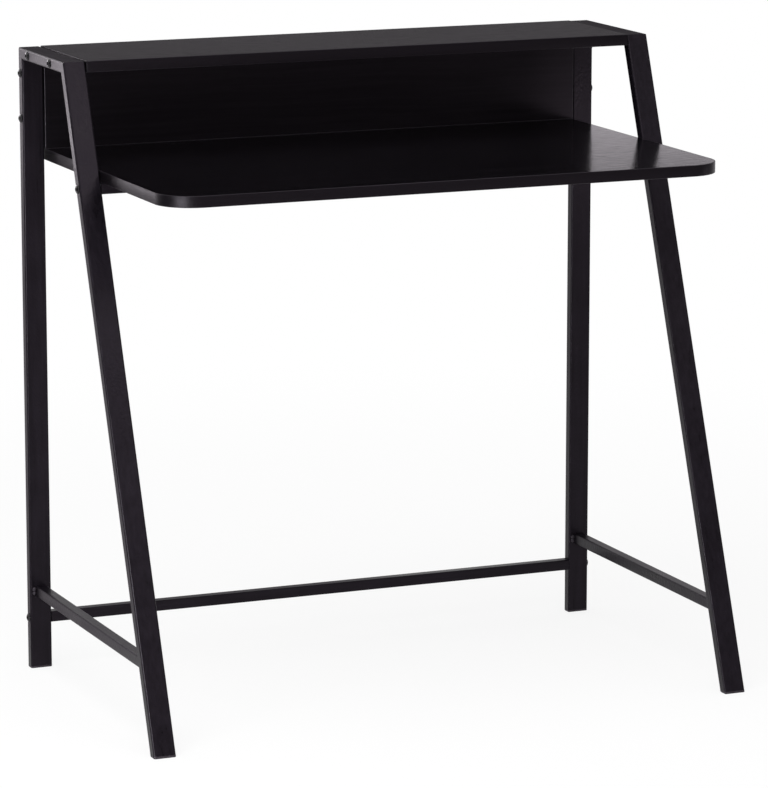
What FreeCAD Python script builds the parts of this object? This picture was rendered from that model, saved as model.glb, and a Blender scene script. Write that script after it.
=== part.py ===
import FreeCAD
import Part
import Sketcher
import math
import os
import re

# Computer desk. Two welded side frames of flat tube carry a desktop, a raised shelf and a back
# panel between them, and two square rails tie the frames together. X runs from left to right,
# Y from front to back and Z up. The origin is on the floor, under the middle of the footprint.
# Each piece is drawn with its Y counted from the rear plane of the frames, forward negative.

# Driving sizes, in millimetres.
SIZES = {
    # Side frames, of flat tube with its wide face to the front
    "overall_width": 840,
    "frame_height": 850,
    "floor_depth": 505,
    "rail_depth": 185,
    "tube_wide": 30,
    "tube_deep": 15,
    "tube_wall": 1.2,
    "tube_corner": 2.5,
    # Square tube of the two side stretchers, the rear stretcher and the support rail
    "brace_size": 15,
    "brace_wall": 1.2,
    "brace_corner": 2,
    "side_stretcher_height": 108,
    "rear_stretcher_height": 70,
    # Boards, and the edge band that runs round each of them
    "board_thick": 15,
    "board_gap": 0.5,
    "board_setback": 2,
    "band_thick": 1,
    "shelf_proud": 1,
    "shelf_overhang": 5,
    "panel_tall": 122,
    "desktop_depth": 492,
    "desktop_corner": 50,
    # Plugs that close the feet of the four legs
    "foot_flange": 3,
    "foot_insert": 14,
    "plug_gap": 0.2,
    # Button head bolts and the threaded nuts that they reach
    "bolt_head_radius": 6,
    "bolt_head_tall": 3.2,
    "bolt_rim_tall": 0.8,
    "bolt_radius": 2.85,
    "bolt_hole_gap": 0.45,
    "thread_gap": 0.15,
    "thread_length": 15,
    "nut_radius": 4.5,
    "nut_gap": 0.1,
    "hole_spare": 3,
    "socket_across": 4,
    "socket_deep": 1.8,
    "shelf_bolt_from_rear": 39,
    "shelf_bolt_from_front": 56,
    "panel_bolt_from_desktop": 41.5,
    "panel_bolt_from_shelf": 20,
    # Screws that hold the desktop to its rail and to the back panel
    "screw_head_radius": 4,
    "screw_head_tall": 2.4,
    "screw_rim_tall": 0.6,
    "screw_radius": 2,
    "screw_hole_gap": 0.3,
    "screw_socket_across": 2.5,
    "screw_socket_deep": 1.3,
    "panel_screw_bite": 30,
    # How far a cut runs past the piece that it opens
    "overrun": 5,
}

# Places and depths given as shares of the piece that carries them.
SCREW_PLACE_SHARE = 0.85
SCREW_BITE_SHARE = 0.6
SCREW_HOLE_SHARE = 0.75
SCREWS_IN_ROW = 3
TUBE_CORNERS = 4
HEX_SIDES = 6
ROUNDING_ERROR = 1e-4

# Sizes that follow from the driving ones, as expressions in their names.
TUBE_INNER_X = "(overall_width / 2 - tube_wide)"
BOARD_END_X = f"({TUBE_INNER_X} - board_gap)"
SPLAY = "((floor_depth - rail_depth) / frame_height)"
SLANT = f"sqrt(1 + {SPLAY} ^ 2)"
RAIL_BASE = "(frame_height - tube_deep)"
SHELF_BASE = "(frame_height + shelf_proud - board_thick)"
SHELF_DEPTH = "(rail_depth + shelf_overhang)"
DESKTOP_TOP = f"({SHELF_BASE} - panel_tall)"
DESKTOP_BASE = f"({DESKTOP_TOP} - board_thick)"
SUPPORT_RAIL_HEIGHT = f"({DESKTOP_BASE} - brace_size / 2)"
BOLT_HOLE_RADIUS = "(bolt_radius + bolt_hole_gap)"
SCREW_HOLE_RADIUS = "(screw_radius + screw_hole_gap)"
NUT_HOLE_DEPTH = "(thread_length + hole_spare)"


def front_leg_y(depth, height):
    """Y, at a height, of a line that lies a depth behind the front leg's front face."""
    return f"({SLANT} * ({depth}) - rail_depth - {SPLAY} * (frame_height - ({height})))"


def rear_leg_y(depth, height):
    """The same for the rear leg, whose faces are upright, so that the height plays no part."""
    return f"({depth} - tube_deep)"


# Middles of the bolts, as (Y, Z), from front to back or upward
SHELF_BOLTS = [
    ("-(rail_depth - shelf_bolt_from_front)", "frame_height - tube_deep / 2"),
    ("-shelf_bolt_from_rear", "frame_height - tube_deep / 2"),
]
PANEL_BOLTS = [
    ("-tube_deep / 2", f"{DESKTOP_TOP} + panel_bolt_from_desktop"),
    ("-tube_deep / 2", f"{SHELF_BASE} - panel_bolt_from_shelf"),
]
SUPPORT_RAIL_MIDDLE = (front_leg_y("tube_deep / 2", SUPPORT_RAIL_HEIGHT), SUPPORT_RAIL_HEIGHT)
REAR_STRETCHER_MIDDLE = ("-tube_deep / 2", "rear_stretcher_height")
PANEL_MIDDLE_Y = "-(board_setback + board_thick / 2)"

doc = FreeCAD.newDocument("computer_desk")
sheet = doc.addObject("Spreadsheet::Sheet", "Sizes")
for row, (size_name, size) in enumerate(SIZES.items(), start=1):
    sheet.set(f"A{row}", size_name)
    sheet.set(f"B{row}", str(size))
    sheet.setAlias(f"B{row}", size_name)
doc.recompute()

pieces = []


def bind(item, path, expression):
    """Bind a property to an expression in the names of the sizes."""
    names = re.compile(r"\b(" + "|".join(SIZES) + r")\b")
    item.setExpression(path, names.sub(r"Sizes.\1", expression))


def number(expression):
    """Present value of an expression in the names of the sizes."""
    return float(sheet.evalExpression(expression))


def new_piece(name, across="0", from_rear="0", height="0"):
    """Body of one sub-part, placed from the middle, the rear plane and the floor."""
    body = doc.addObject("PartDesign::Body", name)
    bind(body, "Placement.Base.x", across)
    bind(body, "Placement.Base.y", f"floor_depth / 2 + {from_rear}")
    bind(body, "Placement.Base.z", height)
    pieces.append(body)
    return body


def origin_of(body, role):
    """Plane or axis of a body's own origin."""
    return next(item for item in body.Origin.OriginFeatures if item.Role == role)


def new_sketch(body, name, plane, offset="0"):
    """Sketch on one of the body's origin planes, moved along the plane's normal."""
    sketch = body.newObject("Sketcher::SketchObject", name)
    sketch.AttachmentSupport = [(origin_of(body, plane), "")]
    sketch.MapMode = "FlatFace"
    bind(sketch, "AttachmentOffset.Base.z", offset)
    return sketch


def fix(sketch, kind, geometry, point, expression):
    """Fix one coordinate of a sketch point by its distance from the sketch's origin."""
    constraint = Sketcher.Constraint(kind, -1, 1, geometry, point, number(expression))
    index = sketch.addConstraint(constraint)
    sketch.renameConstraint(index, f"size{index}")
    bind(sketch, f"Constraints.size{index}", expression)


def arc_between(start, end, centre):
    """Shorter arc between two points, and which of its ends lies on the first of them."""
    turn = (start - centre).cross(end - centre).z
    first, last = (start, end) if turn > 0 else (end, start)
    circle = Part.Circle(centre, FreeCAD.Vector(0, 0, 1), (start - centre).Length)
    arc = Part.ArcOfCircle(circle, circle.parameter(first), circle.parameter(last))
    return arc, 1 if turn > 0 else 2


def draw_outline(sketch, corners):
    """Closed outline through corners (across, up). A corner that an arc leaves also holds its centre."""
    first = sketch.GeometryCount
    count = len(corners)
    points = [FreeCAD.Vector(number(corner[0]), number(corner[1]), 0) for corner in corners]
    starts = []
    for index, corner in enumerate(corners):
        end = points[(index + 1) % count]
        if len(corner) == 4:
            centre = FreeCAD.Vector(number(corner[2]), number(corner[3]), 0)
            line, start = arc_between(points[index], end, centre)
        else:
            line, start = Part.LineSegment(points[index], end), 1
        sketch.addGeometry(line, False)
        starts.append(start)
    for index, corner in enumerate(corners):
        after = (index + 1) % count
        sketch.addConstraint(
            Sketcher.Constraint("Coincident", first + index, 3 - starts[index], first + after, starts[after]))
        fix(sketch, "DistanceX", first + index, starts[index], corner[0])
        fix(sketch, "DistanceY", first + index, starts[index], corner[1])
        if len(corner) == 4:
            fix(sketch, "DistanceX", first + index, 3, corner[2])


def draw_circle(sketch, middle, radius):
    """Circle about a middle (across, up)."""
    index = sketch.GeometryCount
    centre = FreeCAD.Vector(number(middle[0]), number(middle[1]), 0)
    sketch.addGeometry(Part.Circle(centre, FreeCAD.Vector(0, 0, 1), number(radius)), False)
    fix(sketch, "DistanceX", index, 3, middle[0])
    fix(sketch, "DistanceY", index, 3, middle[1])
    constraint = sketch.addConstraint(Sketcher.Constraint("Radius", index, number(radius)))
    sketch.renameConstraint(constraint, f"size{constraint}")
    bind(sketch, f"Constraints.size{constraint}", radius)


def pad(body, sketch, length, both_ways=False):
    """Extrude a sketch along its normal, or half the length each way."""
    feature = body.newObject("PartDesign::Pad", "pad")
    feature.Profile = sketch
    feature.SideType = "Symmetric" if both_ways else "One side"
    bind(feature, "Length", length)
    doc.recompute()
    return feature


def cut(body, sketch, depth=None, both_ways=False, along_normal=False):
    """Cut a sketch out of a body, right through where no depth is given."""
    volume = body.Shape.Volume
    feature = body.newObject("PartDesign::Pocket", "pocket")
    feature.Profile = sketch
    feature.SideType = "Symmetric" if both_ways else "One side"
    feature.Reversed = along_normal
    if depth is None:
        feature.Type = "ThroughAll"
    else:
        bind(feature, "Length", depth)
    doc.recompute()
    if not body.Shape.Volume < volume:
        raise ValueError(f"{sketch.Label} of {body.Label} cuts nothing")
    return feature


def round_edges(body, edge_numbers, radius):
    """Round the edges with the given numbers, counted from 0."""
    base = body.Tip
    feature = body.newObject("PartDesign::Fillet", "rounding")
    feature.Base = (base, [f"Edge{edge + 1}" for edge in edge_numbers])
    bind(feature, "Radius", radius)
    doc.recompute()


def edges_spanning(shape, axis, low, high):
    """Numbers of the edges whose two ends lie at two coordinates along an axis, x or z."""
    span = [number(low), number(high)]
    found = []
    for index, edge in enumerate(shape.Edges):
        ends = sorted(getattr(vertex.Point, axis) for vertex in edge.Vertexes)
        if len(ends) == 2 and math.dist(ends, span) < ROUNDING_ERROR:
            found.append(index)
    return found


def round_along(body, longest, radius, outer):
    """Round four of a tube's so many longest edges: the outermost ones, or the ones nearest its middle."""
    edges = body.Shape.Edges
    middle = Part.Vertex(body.Shape.CenterOfGravity)
    along = sorted(range(len(edges)), key=lambda edge: -edges[edge].Length)[:longest]
    along.sort(key=lambda edge: edges[edge].distToShape(middle)[0], reverse=outer)
    round_edges(body, along[:TUBE_CORNERS], radius)


def make_tube(body, outline, wide, bore, bore_wide, wall, corner):
    """Tube from its side view and its bore's, each with its width across that view."""
    sketch = new_sketch(body, "side_view", "YZ_Plane")
    draw_outline(sketch, outline)
    pad(body, sketch, wide, both_ways=True)
    sketch = new_sketch(body, "bore", "YZ_Plane")
    draw_outline(sketch, bore)
    cut(body, sketch, bore_wide, both_ways=True)
    round_along(body, 2 * TUBE_CORNERS, f"{corner} - {wall}", outer=False)
    round_along(body, 3 * TUBE_CORNERS, corner, outer=True)


def mirror_whole(body):
    """Repeat all of a body on the other side of the desk."""
    feature = body.newObject("PartDesign::Mirrored", "other_side")
    feature.TransformMode = "Whole shape"
    feature.MirrorPlane = (origin_of(body, "YZ_Plane"), [""])
    body.Tip = feature
    doc.recompute()


def row_whole(body, axis, length, count):
    """Repeat all of a body in a row that is a length long."""
    feature = body.newObject("PartDesign::LinearPattern", "row")
    feature.TransformMode = "Whole shape"
    feature.Direction = (origin_of(body, axis), [""])
    bind(feature, "Length", length)
    feature.Occurrences = count
    body.Tip = feature
    doc.recompute()


def through_holes(body, middles, radius):
    """Holes through both walls of a tube, along X."""
    sketch = new_sketch(body, "bolt_holes", "YZ_Plane")
    for middle in middles:
        draw_circle(sketch, middle, radius)
    cut(body, sketch, both_ways=True)


# Side frames

def side_tube(name, side, outline, bore):
    """Flat tube of a side frame, from its side view and the side view of its bore."""
    body = new_piece(name, across=f"{side} * (overall_width - tube_wide) / 2")
    make_tube(body, outline, "tube_wide", bore, "tube_wide - 2 * tube_wall", "tube_wall", "tube_corner")
    return body


def leg_strip(leg_y, inset, low, high):
    """Four corners of a stretch of a leg between two heights, drawn in by an inset."""
    far = f"tube_deep - ({inset})"
    return [
        (leg_y(inset, low), low),
        (leg_y(inset, high), high),
        (leg_y(far, high), high),
        (leg_y(far, low), low),
    ]


def rear_leg(name, side):
    """Upright tube, mitred into the top rail."""
    outline = [
        ("0", "foot_flange"),
        ("0", "frame_height"),
        ("-tube_deep", RAIL_BASE),
        ("-tube_deep", "foot_flange"),
    ]
    bore = leg_strip(rear_leg_y, "tube_wall", "-overrun", "frame_height + overrun")
    body = side_tube(name, side, outline, bore)
    through_holes(body, PANEL_BOLTS + [REAR_STRETCHER_MIDDLE], BOLT_HOLE_RADIUS)


def front_leg(name, side):
    """Tube that slopes forward from the top rail to the floor."""
    outline = [
        ("-rail_depth", "frame_height"),
        (front_leg_y("tube_deep", RAIL_BASE), RAIL_BASE),
        (front_leg_y("tube_deep", "foot_flange"), "foot_flange"),
        (front_leg_y("0", "foot_flange"), "foot_flange"),
    ]
    bore = leg_strip(front_leg_y, "tube_wall", "-overrun", "frame_height + overrun")
    body = side_tube(name, side, outline, bore)
    through_holes(body, [SUPPORT_RAIL_MIDDLE], BOLT_HOLE_RADIUS)


def top_rail(name, side):
    """Level tube over the two legs of a frame, mitred at both ends."""
    outline = [
        ("0", "frame_height"),
        ("-rail_depth", "frame_height"),
        (front_leg_y("tube_deep", RAIL_BASE), RAIL_BASE),
        ("-tube_deep", RAIL_BASE),
    ]
    bore_top = "frame_height - tube_wall"
    bore_base = f"{RAIL_BASE} + tube_wall"
    bore = [
        ("overrun", bore_top),
        ("-rail_depth - overrun", bore_top),
        ("-rail_depth - overrun", bore_base),
        ("overrun", bore_base),
    ]
    body = side_tube(name, side, outline, bore)
    through_holes(body, SHELF_BOLTS, BOLT_HOLE_RADIUS)


def side_stretcher(name, side):
    """Square tube between the two legs of a frame, near the floor."""
    low = "side_stretcher_height - brace_size / 2"
    high = "side_stretcher_height + brace_size / 2"
    outline = [
        ("-tube_deep", low),
        ("-tube_deep", high),
        (front_leg_y("tube_deep", high), high),
        (front_leg_y("tube_deep", low), low),
    ]
    bore = [
        ("overrun", f"{low} + brace_wall"),
        ("overrun", f"{high} - brace_wall"),
        ("-floor_depth", f"{high} - brace_wall"),
        ("-floor_depth", f"{low} + brace_wall"),
    ]
    body = new_piece(name, across=f"{side} * (overall_width - tube_wide) / 2")
    make_tube(body, outline, "brace_size", bore, "brace_size - 2 * brace_wall", "brace_wall", "brace_corner")


def foot_plug(name, side, leg_y):
    """Plastic plug under a leg: a flange the size of the tube, and an insert inside the tube."""
    body = new_piece(name, across=f"{side} * (overall_width - tube_wide) / 2")
    insert_top = "foot_flange + foot_insert"
    blocks = [
        ("flange", "0", "foot_flange", "0", "tube_corner"),
        ("insert", "foot_flange", insert_top, "(tube_wall + plug_gap)", "tube_corner - tube_wall"),
    ]
    for part, low, high, inset, corner in blocks:
        sketch = new_sketch(body, part, "YZ_Plane")
        draw_outline(sketch, leg_strip(leg_y, inset, low, high))
        pad(body, sketch, f"tube_wide - 2 * {inset}", both_ways=True)
        round_edges(body, edges_spanning(body.Shape, "z", low, high), corner)


for hand, side in (("left", -1), ("right", 1)):
    rear_leg(f"{hand}_rear_leg", side)
    front_leg(f"{hand}_front_leg", side)
    top_rail(f"{hand}_top_rail", side)
    side_stretcher(f"{hand}_side_stretcher", side)
    foot_plug(f"{hand}_rear_foot_plug", side, rear_leg_y)
    foot_plug(f"{hand}_front_foot_plug", side, front_leg_y)


# Square rails that tie the frames together

def square_about(middle, size):
    """Corners of a square about a middle (Y, Z)."""
    across, up = middle
    half = f"({size}) / 2"
    return [
        (f"{across} - {half}", f"{up} - {half}"),
        (f"{across} + {half}", f"{up} - {half}"),
        (f"{across} + {half}", f"{up} + {half}"),
        (f"{across} - {half}", f"{up} + {half}"),
    ]


def cross_rail(name, middle):
    """Square tube between the inner faces of the two frames."""
    body = new_piece(name)
    make_tube(body, square_about(middle, "brace_size"), f"2 * {TUBE_INNER_X}",
              square_about(middle, "brace_size - 2 * brace_wall"), f"2 * ({TUBE_INNER_X} + overrun)",
              "brace_wall", "brace_corner")
    return body


def end_nuts(name, middle):
    """Threaded block in each end of a square tube."""
    body = new_piece(name)
    sketch = new_sketch(body, "section", "YZ_Plane", offset=f"-{TUBE_INNER_X}")
    draw_outline(sketch, square_about(middle, "brace_size - 2 * (brace_wall + plug_gap)"))
    pad(body, sketch, "thread_length")
    block = edges_spanning(body.Shape, "x", f"-{TUBE_INNER_X}", f"thread_length - {TUBE_INNER_X}")
    round_edges(body, block, "brace_corner - brace_wall")
    sketch = new_sketch(body, "bore", "YZ_Plane")
    draw_circle(sketch, middle, "bolt_radius + thread_gap")
    cut(body, sketch, both_ways=True)
    mirror_whole(body)


cross_rail("rear_stretcher", REAR_STRETCHER_MIDDLE)
end_nuts("rear_stretcher_end_nuts", REAR_STRETCHER_MIDDLE)
support_rail = cross_rail("desktop_support_rail", SUPPORT_RAIL_MIDDLE)
end_nuts("support_rail_end_nuts", SUPPORT_RAIL_MIDDLE)


def screw_holes(body, sketch_name, from_rear, height, depth=None):
    """Upright holes for a row of screws, from a height upward, right through where no depth is given."""
    sketch = new_sketch(body, sketch_name, "XY_Plane", offset=height)
    for place in range(SCREWS_IN_ROW):
        share = SCREW_PLACE_SHARE * (2 * place / (SCREWS_IN_ROW - 1) - 1)
        draw_circle(sketch, (f"{share} * {TUBE_INNER_X}", from_rear), SCREW_HOLE_RADIUS)
    cut(body, sketch, depth, both_ways=depth is None, along_normal=depth is not None)


screw_holes(support_rail, "screw_holes", SUPPORT_RAIL_MIDDLE[0], DESKTOP_BASE)

# Boards

def rounded_front(inset):
    """Outline of the desktop, drawn in by an inset: rear left, round the front, rear right."""
    side_x = f"{BOARD_END_X} - ({inset})"
    round_x = f"{BOARD_END_X} - desktop_corner"
    rear_y = f"-(board_setback + {inset})"
    round_y = "desktop_corner - desktop_depth"
    front_y = f"{inset} - desktop_depth"
    return [
        (f"-({side_x})", rear_y),
        (f"-({side_x})", round_y, f"-({round_x})", round_y),
        (f"-({round_x})", front_y),
        (round_x, front_y, round_x, round_y),
        (side_x, round_y),
        (side_x, rear_y),
    ]


def rectangle(inset, low, high):
    """Outline between the ends of a board and two other edges, drawn in by an inset."""
    side_x = f"({BOARD_END_X} - ({inset}))"
    return [
        (f"-{side_x}", f"{low} + {inset}"),
        (side_x, f"{low} + {inset}"),
        (side_x, f"{high} - ({inset})"),
        (f"-{side_x}", f"{high} - ({inset})"),
    ]


def board_and_band(board_name, band_name, plane, offset, outline_at):
    """Board and the edge band round it, from their outline at an inset."""
    board = new_piece(board_name)
    sketch = new_sketch(board, "outline", plane, offset)
    draw_outline(sketch, outline_at("band_thick"))
    pad(board, sketch, "board_thick")
    band = new_piece(band_name)
    sketch = new_sketch(band, "outline", plane, offset)
    draw_outline(sketch, outline_at("0"))
    draw_outline(sketch, outline_at("band_thick"))
    pad(band, sketch, "board_thick")
    return board, band


def nut_holes(body, middles):
    """Holes for the threaded nuts, in both ends of a board or of its band."""
    sketch = new_sketch(body, "nut_holes", "YZ_Plane", offset=BOARD_END_X)
    for middle in middles:
        draw_circle(sketch, middle, "nut_radius")
    holes = cut(body, sketch, NUT_HOLE_DEPTH)
    feature = body.newObject("PartDesign::Mirrored", "other_end")
    feature.Originals = [holes]
    feature.MirrorPlane = (origin_of(body, "YZ_Plane"), [""])
    body.Tip = feature
    doc.recompute()


desktop = board_and_band("desktop_board", "desktop_edge_band", "XY_Plane", DESKTOP_BASE, rounded_front)[0]
screw_holes(desktop, "panel_screw_holes", PANEL_MIDDLE_Y, DESKTOP_BASE)
screw_holes(desktop, "rail_screw_holes", SUPPORT_RAIL_MIDDLE[0], DESKTOP_BASE,
            f"board_thick * {SCREW_HOLE_SHARE}")

shelf_pieces = board_and_band("shelf_board", "shelf_edge_band", "XY_Plane", SHELF_BASE,
                              lambda inset: rectangle(inset, f"-{SHELF_DEPTH}", "-board_setback"))
for piece in shelf_pieces:
    nut_holes(piece, SHELF_BOLTS)

panel_pieces = board_and_band("back_panel", "back_panel_edge_band", "XZ_Plane", "board_setback",
                              lambda inset: rectangle(inset, DESKTOP_TOP, SHELF_BASE))
for piece in panel_pieces:
    nut_holes(piece, PANEL_BOLTS)
    screw_holes(piece, "screw_holes", PANEL_MIDDLE_Y, DESKTOP_TOP, "panel_screw_bite + hole_spare")


# Fasteners

def turned_outline(seat, head_radius, head_tall, rim_tall, shank_radius, shank_end):
    """Half section (along, out) of a domed head and its shank, from the dome's crown."""
    dome = f"({head_tall} - {rim_tall})"
    crown = f"({seat} - {head_tall})"
    return [
        (crown, "0", f"{crown} + ({head_radius} ^ 2 + {dome} ^ 2) / (2 * {dome})", "0"),
        (f"{seat} - {rim_tall}", head_radius),
        (seat, head_radius),
        (seat, shank_radius),
        (shank_end, shank_radius),
        (shank_end, "0"),
    ]


def revolve(body, outline, plane, axis):
    """Revolve an outline about an axis of its sketch."""
    sketch = new_sketch(body, "half_section", plane)
    draw_outline(sketch, outline)
    feature = body.newObject("PartDesign::Revolution", "turned")
    feature.Profile = sketch
    feature.ReferenceAxis = (sketch, [axis])
    doc.recompute()


def hex_socket(body, plane, crown, across, depth):
    """Six sided socket, sunk from the crown of a head."""
    sketch = new_sketch(body, "socket", plane, crown)
    corner_radius = f"{across} / sqrt(3)"
    turns = [math.radians(360 * step / HEX_SIDES) for step in range(HEX_SIDES)]
    across_and_up = [(f"{math.cos(turn):.6f}", f"{math.sin(turn):.6f}") for turn in turns]
    draw_outline(sketch, [(f"{x} * {corner_radius}", f"{y} * {corner_radius}") for x, y in across_and_up])
    cut(body, sketch, depth, along_normal=True)


def bolts(name, middles):
    """Button head bolts through both frames, at each middle (Y, Z)."""
    first_y, first_z = middles[0]
    body = new_piece(name, from_rear=first_y, height=first_z)
    seat = "-(overall_width / 2)"
    shank_end = f"thread_length - {TUBE_INNER_X}"
    outline = turned_outline(
        seat, "bolt_head_radius", "bolt_head_tall", "bolt_rim_tall", "bolt_radius", shank_end)
    revolve(body, outline, "XY_Plane", "H_Axis")
    hex_socket(body, "YZ_Plane", f"{seat} - bolt_head_tall", "socket_across", "socket_deep")
    row_of_two(body, middles)
    mirror_whole(body)


def board_nuts(name, middles):
    """Threaded nuts in both ends of a board, at each middle (Y, Z)."""
    first_y, first_z = middles[0]
    body = new_piece(name, from_rear=first_y, height=first_z)
    outer = "nut_radius - nut_gap"
    bore = "bolt_radius + thread_gap"
    near = f"-{BOARD_END_X}"
    far = f"thread_length - {BOARD_END_X}"
    revolve(body, [(near, bore), (near, outer), (far, outer), (far, bore)], "XY_Plane", "H_Axis")
    row_of_two(body, middles)
    mirror_whole(body)


def row_of_two(body, middles):
    """Repeat a body from the first middle to the second, if there is one."""
    if len(middles) < 2:
        return
    (first_y, first_z), (second_y, second_z) = middles
    if first_y == second_y:
        row_whole(body, "Z_Axis", f"{second_z} - ({first_z})", 2)
    else:
        row_whole(body, "Y_Axis", f"{second_y} - ({first_y})", 2)


def screws(name, from_rear, seat_height, length):
    """Row of screws that point upward, their heads under the seat."""
    reach = f"{SCREW_PLACE_SHARE} * {TUBE_INNER_X}"
    body = new_piece(name, across=f"-{reach}", from_rear=from_rear, height=seat_height)
    outline = turned_outline(
        "0", "screw_head_radius", "screw_head_tall", "screw_rim_tall", "screw_radius", length)
    # Drawn upright, so that each pair of coordinates changes places
    upright = [(corner[1], corner[0], *corner[:1:-1]) for corner in outline]
    revolve(body, upright, "XZ_Plane", "V_Axis")
    hex_socket(body, "XY_Plane", "-screw_head_tall", "screw_socket_across", "screw_socket_deep")
    row_whole(body, "X_Axis", f"2 * {reach}", SCREWS_IN_ROW)


bolts("shelf_bolts", SHELF_BOLTS)
board_nuts("shelf_nuts", SHELF_BOLTS)
bolts("back_panel_bolts", PANEL_BOLTS)
board_nuts("back_panel_nuts", PANEL_BOLTS)
bolts("support_rail_bolts", [SUPPORT_RAIL_MIDDLE])
bolts("rear_stretcher_bolts", [REAR_STRETCHER_MIDDLE])
screws("desktop_rail_screws", SUPPORT_RAIL_MIDDLE[0], f"{DESKTOP_BASE} - brace_size",
       f"brace_size + board_thick * {SCREW_BITE_SHARE}")
screws("panel_base_screws", PANEL_MIDDLE_Y, DESKTOP_BASE, "board_thick + panel_screw_bite")

# Check every object, then write each sub-part
doc.recompute()
for item in doc.Objects:
    if "Invalid" in item.State or "Error" in item.State:
        raise ValueError(f"{item.Label} failed: {item.State}")
for piece in pieces:
    if piece.Shape.isNull() or not piece.Shape.isValid():
        raise ValueError(f"{piece.Label} has no valid shape")

os.makedirs("parts", exist_ok=True)
for piece in pieces:
    piece.Shape.exportStep(f"parts/{piece.Label}.step")
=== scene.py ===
import math

import bmesh
import bpy
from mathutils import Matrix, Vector


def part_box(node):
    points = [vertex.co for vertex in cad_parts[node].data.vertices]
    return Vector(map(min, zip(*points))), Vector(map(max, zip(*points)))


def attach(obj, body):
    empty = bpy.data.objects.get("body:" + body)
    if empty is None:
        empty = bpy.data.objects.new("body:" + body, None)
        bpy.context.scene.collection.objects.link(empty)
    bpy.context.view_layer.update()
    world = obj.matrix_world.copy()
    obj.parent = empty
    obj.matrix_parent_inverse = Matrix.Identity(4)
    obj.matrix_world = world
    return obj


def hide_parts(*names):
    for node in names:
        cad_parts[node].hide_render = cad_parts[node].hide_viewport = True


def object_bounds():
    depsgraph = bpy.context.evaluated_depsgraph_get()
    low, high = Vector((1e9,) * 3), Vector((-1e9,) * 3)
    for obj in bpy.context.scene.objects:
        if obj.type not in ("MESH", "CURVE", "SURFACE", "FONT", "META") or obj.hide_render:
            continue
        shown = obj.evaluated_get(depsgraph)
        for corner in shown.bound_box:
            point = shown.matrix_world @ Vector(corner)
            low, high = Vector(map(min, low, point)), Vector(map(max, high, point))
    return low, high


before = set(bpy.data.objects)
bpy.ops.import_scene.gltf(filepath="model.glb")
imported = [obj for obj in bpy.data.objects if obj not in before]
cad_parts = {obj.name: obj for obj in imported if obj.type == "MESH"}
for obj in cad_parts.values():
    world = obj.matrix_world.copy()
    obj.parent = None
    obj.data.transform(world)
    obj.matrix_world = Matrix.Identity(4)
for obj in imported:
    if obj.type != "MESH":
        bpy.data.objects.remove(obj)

bl_info = {
    "name": "Computer desk",
    "version": (1, 0, 0),
    "blender": (4, 5, 0),
    "location": "View3D > Sidebar > Desk",
    "description": "Finishes a small black computer desk with welded steel side frames",
    "category": "Add Mesh",
}

CAD_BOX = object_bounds()
SIDES = (("left", -1), ("right", 1))
MM = 0.001

# Sizes read from the solids
RAIL_LOW, RAIL_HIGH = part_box("left_top_rail")
LEG_LOW, LEG_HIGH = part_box("left_rear_leg")
FRAME_HEIGHT = RAIL_HIGH.z
FLOOR_DEPTH = CAD_BOX[1].y - CAD_BOX[0].y
RAIL_DEPTH = RAIL_HIGH.y - RAIL_LOW.y
TUBE_WIDE = RAIL_HIGH.x - RAIL_LOW.x
TUBE_DEEP = RAIL_HIGH.z - RAIL_LOW.z
TUBE_MIDDLE_X = (RAIL_HIGH.x + RAIL_LOW.x) / -2
REAR_Y = CAD_BOX[1].y
FLANGE = LEG_LOW.z
SPLAY = (FLOOR_DEPTH - RAIL_DEPTH) / FRAME_HEIGHT
SLANT = math.hypot(1, SPLAY)

# Place of the photographer's camera
VIEW_CENTRE = Vector((-0.0418, -0.1036, 0.4152))
VIEW_AZIMUTH = -22.92
VIEW_ELEVATION = 11.21
VIEW_DISTANCE = 5.75
VIEW_LENS_MM = 200.56
SENSOR_MM = 36.0

# Soft boxes: name, place, what they face, width and height, and power in watts
LAMPS = (
    ("soft_top", (-1.2, -0.8, 2.9), (0, 0, 0.45), (1.8, 1.8), 45),
    ("soft_front", (0.15, -1.5, 1.7), (-0.3, 0, 0.8), (0.6, 0.6), 4),
    ("soft_low_left", (-1.2, -0.9, 0.4), (-0.4, 0, 0.6), (0.5, 0.5), 3),
)

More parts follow.
